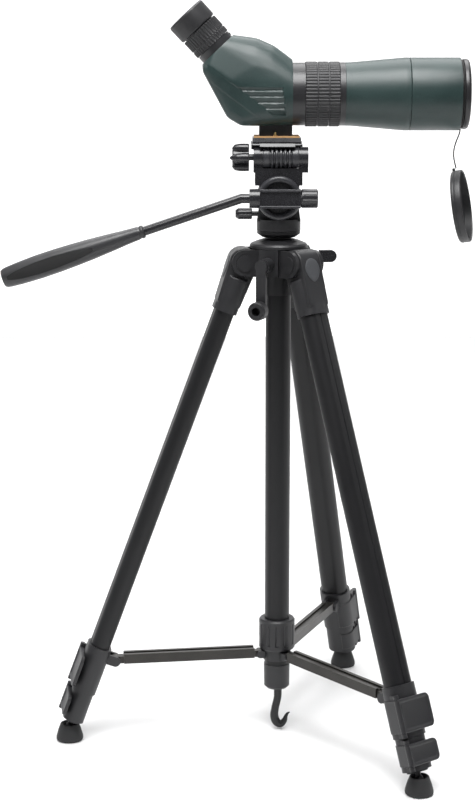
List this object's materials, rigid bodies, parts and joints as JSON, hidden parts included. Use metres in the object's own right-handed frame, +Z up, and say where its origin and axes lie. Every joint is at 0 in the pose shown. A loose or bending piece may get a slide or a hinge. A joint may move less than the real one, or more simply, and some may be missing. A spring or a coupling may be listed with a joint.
{
  "type": "spotting scope",
  "caption": "Angled spotting scope with a ribbed focus ring, tethered lens cap and zoom eyepiece, on a folding three-leg stand with a pan head.",
  "frame": {"origin": "on the stand's vertical axis, at floor level", "axes": "+X towards the objective, +Z up, +Y to the scope's left side"},
  "size_m": [0.4662, 0.4, 0.7395],
  "materials": {
    "black_plastic": "satin",
    "black_tube": "satin",
    "arm_metal": "satin",
    "black_steel": "satin",
    "foot_rubber": "matte",
    "grip_foam": "matte",
    "cork": "matte",
    "screw_brass": "satin",
    "green_armour": "fine satin",
    "scope_black": "satin",
    "ring_rubber": "matte",
    "cord": "matte",
    "glass": "coated"
  },
  "bodies": {
    "root": {"spider": "black_plastic", "center_tube": "black_tube", "tube_cap": "black_plastic"},
    "hook": {"weight_hook": "black_steel"},
    "column": {"column": "black_tube"},
    "crank": {"column_crank": "black_plastic"},
    "column_lock": {"column_lock": "black_plastic"},
    "hub": {"brace_hub": "black_plastic"},
    "arm_1": {"brace_arm_1": "arm_metal"},
    "arm_2": {"brace_arm_2": "arm_metal"},
    "arm_3": {"brace_arm_3": "arm_metal"},
    "leg_1": {"leg_casting_1": "black_plastic", "upper_tube_1": "black_tube", "upper_lock_1": "black_plastic"},
    "leg_2": {"leg_casting_2": "black_plastic", "upper_tube_2": "black_tube", "upper_lock_2": "black_plastic"},
    "leg_3": {"leg_casting_3": "black_plastic", "upper_tube_3": "black_tube", "upper_lock_3": "black_plastic"},
    "upper_lever_1": {"upper_lever_1": "black_plastic"},
    "mid_1": {"mid_tube_1": "black_plastic"},
    "lower_lever_1": {"lower_lever_1": "black_plastic"},
    "low_1": {"low_tube_1": "black_tube"},
    "foot_1": {"foot_1": "foot_rubber"},
    "upper_lever_2": {"upper_lever_2": "black_plastic"},
    "mid_2": {"mid_tube_2": "black_plastic"},
    "lower_lever_2": {"lower_lever_2": "black_plastic"},
    "low_2": {"low_tube_2": "black_tube"},
    "foot_2": {"foot_2": "foot_rubber"},
    "upper_lever_3": {"upper_lever_3": "black_plastic"},
    "mid_3": {"mid_tube_3": "black_plastic"},
    "lower_lever_3": {"lower_lever_3": "black_plastic"},
    "low_3": {"low_tube_3": "black_tube"},
    "foot_3": {"foot_3": "foot_rubber"},
    "pan": {"pan_body": "black_plastic"},
    "pan_lock": {"pan_lock": "black_plastic"},
    "tilt": {"tilt_block": "black_plastic"},
    "handle": {"handle_rod": "black_tube", "handle_grip": "grip_foam"},
    "handle_lock": {"handle_lock": "black_plastic"},
    "platform": {"flip_platform": "black_plastic"},
    "platform_knob": {"platform_knob": "black_plastic"},
    "scope": {"quick_plate": "black_plastic", "plate_pad": "cork", "mount_foot": "scope_black", "prism_housing": "green_armour", "optics": "glass", "focus_sleeve": "scope_black", "barrel": "green_armour", "eyepiece_tube": "scope_black"},
    "camera_screw": {"camera_screw": "screw_brass"},
    "focus_ring": {"focus_ring": "ring_rubber"},
    "zoom_ring": {"zoom_ring": "ring_rubber"},
    "eyecup": {"eyecup": "ring_rubber"},
    "shade": {"sunshade": "green_armour", "front_ring": "scope_black", "cord_loop": "cord"},
    "cap": {"lens_cap": "scope_black", "cap_cord": "cord"}
  },
  "joints": [
    {"name": "hook_swivel", "type": "hinge", "parent": "root", "child": "hook", "pos_m": [0, 0, 0.046], "axis": [0, 0, 1], "continuous": true},
    {"name": "column_lift", "type": "slide", "parent": "root", "child": "column", "axis": [0, 0, 1], "range_m": [0, 0.24]},
    {"name": "crank_turn", "type": "hinge", "parent": "root", "child": "crank", "pos_m": [0, 0, 0.487], "axis": [-0.3746, -0.9272, 0], "range_deg": [0, 1448]},
    {"name": "column_lock_turn", "type": "hinge", "parent": "root", "child": "column_lock", "pos_m": [0, 0, 0.492], "axis": [0.9903, 0.1392, 0], "range_deg": [-180, 0]},
    {"name": "hub_slide", "type": "slide", "parent": "root", "child": "hub", "axis": [0, 0, 1], "range_m": [0, 0.12823]},
    {"name": "arm_fold_1", "type": "hinge", "parent": "hub", "child": "arm_1", "pos_m": [-0.01782, -0.00251, 0.083], "axis": [0.1392, -0.9903, 0], "range_deg": [0, 87.34]},
    {"name": "arm_fold_2", "type": "hinge", "parent": "hub", "child": "arm_2", "pos_m": [0.01108, -0.01418, 0.083], "axis": [0.788, 0.6157, 0], "range_deg": [0, 87.34]},
    {"name": "arm_fold_3", "type": "hinge", "parent": "hub", "child": "arm_3", "pos_m": [0.00674, 0.01669, 0.083], "axis": [-0.9272, 0.3746, 0], "range_deg": [0, 87.34]},
    {"name": "leg_fold_1", "type": "hinge", "parent": "arm_1", "child": "leg_1", "pos_m": [-0.16524, -0.02322, 0.083], "axis": [0.1392, -0.9903, 0], "range_deg": [-67.94, 0]},
    {"name": "leg_fold_2", "type": "hinge", "parent": "arm_2", "child": "leg_2", "pos_m": [0.10273, -0.13149, 0.083], "axis": [0.788, 0.6157, 0], "range_deg": [-67.94, 0]},
    {"name": "leg_fold_3", "type": "hinge", "parent": "arm_3", "child": "leg_3", "pos_m": [0.06251, 0.15471, 0.083], "axis": [-0.9272, 0.3746, 0], "range_deg": [-67.94, 0]},
    {"name": "upper_lever_turn_1", "type": "hinge", "parent": "leg_1", "child": "upper_lever_1", "pos_m": [-0.20524, -0.01107, 0.07818], "axis": [-0.3484, -0.049, -0.9361], "range_deg": [0, 100]},
    {"name": "mid_slide_1", "type": "slide", "parent": "leg_1", "child": "mid_1", "axis": [-0.3484, -0.049, -0.9361], "range_m": [0, 0.33]},
    {"name": "lower_lever_turn_1", "type": "hinge", "parent": "mid_1", "child": "lower_lever_1", "pos_m": [-0.21662, -0.01419, 0.04305], "axis": [-0.3484, -0.049, -0.9361], "range_deg": [0, 100]},
    {"name": "low_slide_1", "type": "slide", "parent": "mid_1", "child": "low_1", "axis": [-0.3484, -0.049, -0.9361], "range_m": [0, 0.33]},
    {"name": "foot_tilt_1", "type": "hinge", "parent": "low_1", "child": "foot_1", "pos_m": [-0.21195, -0.02979, 0.01435], "axis": [0.1392, -0.9903, 0], "range_deg": [-12, 12]},
    {"name": "upper_lever_turn_2", "type": "hinge", "parent": "leg_2", "child": "upper_lever_2", "pos_m": [0.11221, -0.17221, 0.07818], "axis": [0.2166, -0.2773, -0.9361], "range_deg": [0, 100]},
    {"name": "mid_slide_2", "type": "slide", "parent": "leg_2", "child": "mid_2", "axis": [0.2166, -0.2773, -0.9361], "range_m": [0, 0.33]},
    {"name": "lower_lever_turn_2", "type": "hinge", "parent": "mid_2", "child": "lower_lever_2", "pos_m": [0.1206, -0.18051, 0.04305], "axis": [0.2166, -0.2773, -0.9361], "range_deg": [0, 100]},
    {"name": "low_slide_2", "type": "slide", "parent": "mid_2", "child": "low_2", "axis": [0.2166, -0.2773, -0.9361], "range_m": [0, 0.33]},
    {"name": "foot_tilt_2", "type": "hinge", "parent": "low_2", "child": "foot_2", "pos_m": [0.13177, -0.16866, 0.01435], "axis": [0.788, 0.6157, 0], "range_deg": [-12, 12]},
    {"name": "upper_lever_turn_3", "type": "hinge", "parent": "leg_3", "child": "upper_lever_3", "pos_m": [0.09303, 0.18328, 0.07818], "axis": [0.1318, 0.3262, -0.9361], "range_deg": [0, 100]},
    {"name": "mid_slide_3", "type": "slide", "parent": "leg_3", "child": "mid_3", "axis": [0.1318, 0.3262, -0.9361], "range_m": [0, 0.33]},
    {"name": "lower_lever_turn_3", "type": "hinge", "parent": "mid_3", "child": "lower_lever_3", "pos_m": [0.09603, 0.1947, 0.04305], "axis": [0.1318, 0.3262, -0.9361], "range_deg": [0, 100]},
    {"name": "low_slide_3", "type": "slide", "parent": "mid_3", "child": "low_3", "axis": [0.1318, 0.3262, -0.9361], "range_m": [0, 0.33]},
    {"name": "foot_tilt_3", "type": "hinge", "parent": "low_3", "child": "foot_3", "pos_m": [0.08018, 0.19845, 0.01435], "axis": [-0.9272, 0.3746, 0], "range_deg": [-12, 12]},
    {"name": "pan_turn", "type": "hinge", "parent": "column", "child": "pan", "pos_m": [0, 0, 0.5185], "axis": [0, 0, 1], "continuous": true},
    {"name": "pan_lock_turn", "type": "hinge", "parent": "pan", "child": "pan_lock", "pos_m": [-0.028, 0, 0.5345], "axis": [1, 0, 0], "range_deg": [-180, 0]},
    {"name": "tilt_turn", "type": "hinge", "parent": "pan", "child": "tilt", "pos_m": [0, 0, 0.5515], "axis": [0, -1, 0], "range_deg": [-45, 35]},
    {"name": "handle_twist", "type": "hinge", "parent": "tilt", "child": "handle", "pos_m": [-0.02, -0.0272, 0.5515], "axis": [1, 0, 0], "range_deg": [-60, 60]},
    {"name": "handle_lock_turn", "type": "hinge", "parent": "tilt", "child": "handle_lock", "pos_m": [0.02, -0.0272, 0.5515], "axis": [1, 0, 0], "range_deg": [-180, 0]},
    {"name": "platform_flip", "type": "hinge", "parent": "tilt", "child": "platform", "pos_m": [0, -0.016, 0.5905], "axis": [1, 0, 0], "range_deg": [0, 90]},
    {"name": "platform_knob_turn", "type": "hinge", "parent": "tilt", "child": "platform_knob", "pos_m": [-0.03, -0.016, 0.5905], "axis": [1, 0, 0], "range_deg": [-180, 0]},
    {"name": "plate_slide", "type": "slide", "parent": "platform", "child": "scope", "axis": [1, 0, 0], "range_m": [-0.003, 0.015]},
    {"name": "camera_screw_turn", "type": "hinge", "parent": "scope", "child": "camera_screw", "pos_m": [0, 0, 0.606], "axis": [0, 0, 1], "range_deg": [-180, 180]},
    {"name": "focus_turn", "type": "hinge", "parent": "scope", "child": "focus_ring", "pos_m": [0.0416, 0, 0.6505], "axis": [1, 0, 0], "range_deg": [-180, 180]},
    {"name": "zoom_turn", "type": "hinge", "parent": "scope", "child": "zoom_ring", "pos_m": [-0.07051, 0, 0.7046], "axis": [-0.682, 0, 0.7314], "range_deg": [0, 150]},
    {"name": "eyecup_slide", "type": "slide", "parent": "scope", "child": "eyecup", "axis": [-0.682, 0, 0.7314], "range_m": [0, 0.008]},
    {"name": "shade_slide", "type": "slide", "parent": "scope", "child": "shade", "axis": [1, 0, 0], "range_m": [0, 0.035]},
    {"name": "cap_swing", "type": "hinge", "parent": "shade", "child": "cap", "pos_m": [0.1766, 0, 0.617], "axis": [0, 1, 0], "range_deg": [-20, 20]}
  ],
  "couplings": [
    {"joint": "crank_turn", "follows": "column_lift", "rad_per_m": 105.29},
    {"joint": "hub_slide", "follows": "leg_fold_1", "m_per_rad": -0.10814},
    {"joint": "leg_fold_2", "follows": "leg_fold_1", "ratio": 1},
    {"joint": "leg_fold_3", "follows": "leg_fold_1", "ratio": 1},
    {"joint": "arm_fold_1", "follows": "leg_fold_1", "ratio": -1.2855},
    {"joint": "arm_fold_2", "follows": "leg_fold_1", "ratio": -1.2855},
    {"joint": "arm_fold_3", "follows": "leg_fold_1", "ratio": -1.2855}
  ]
}
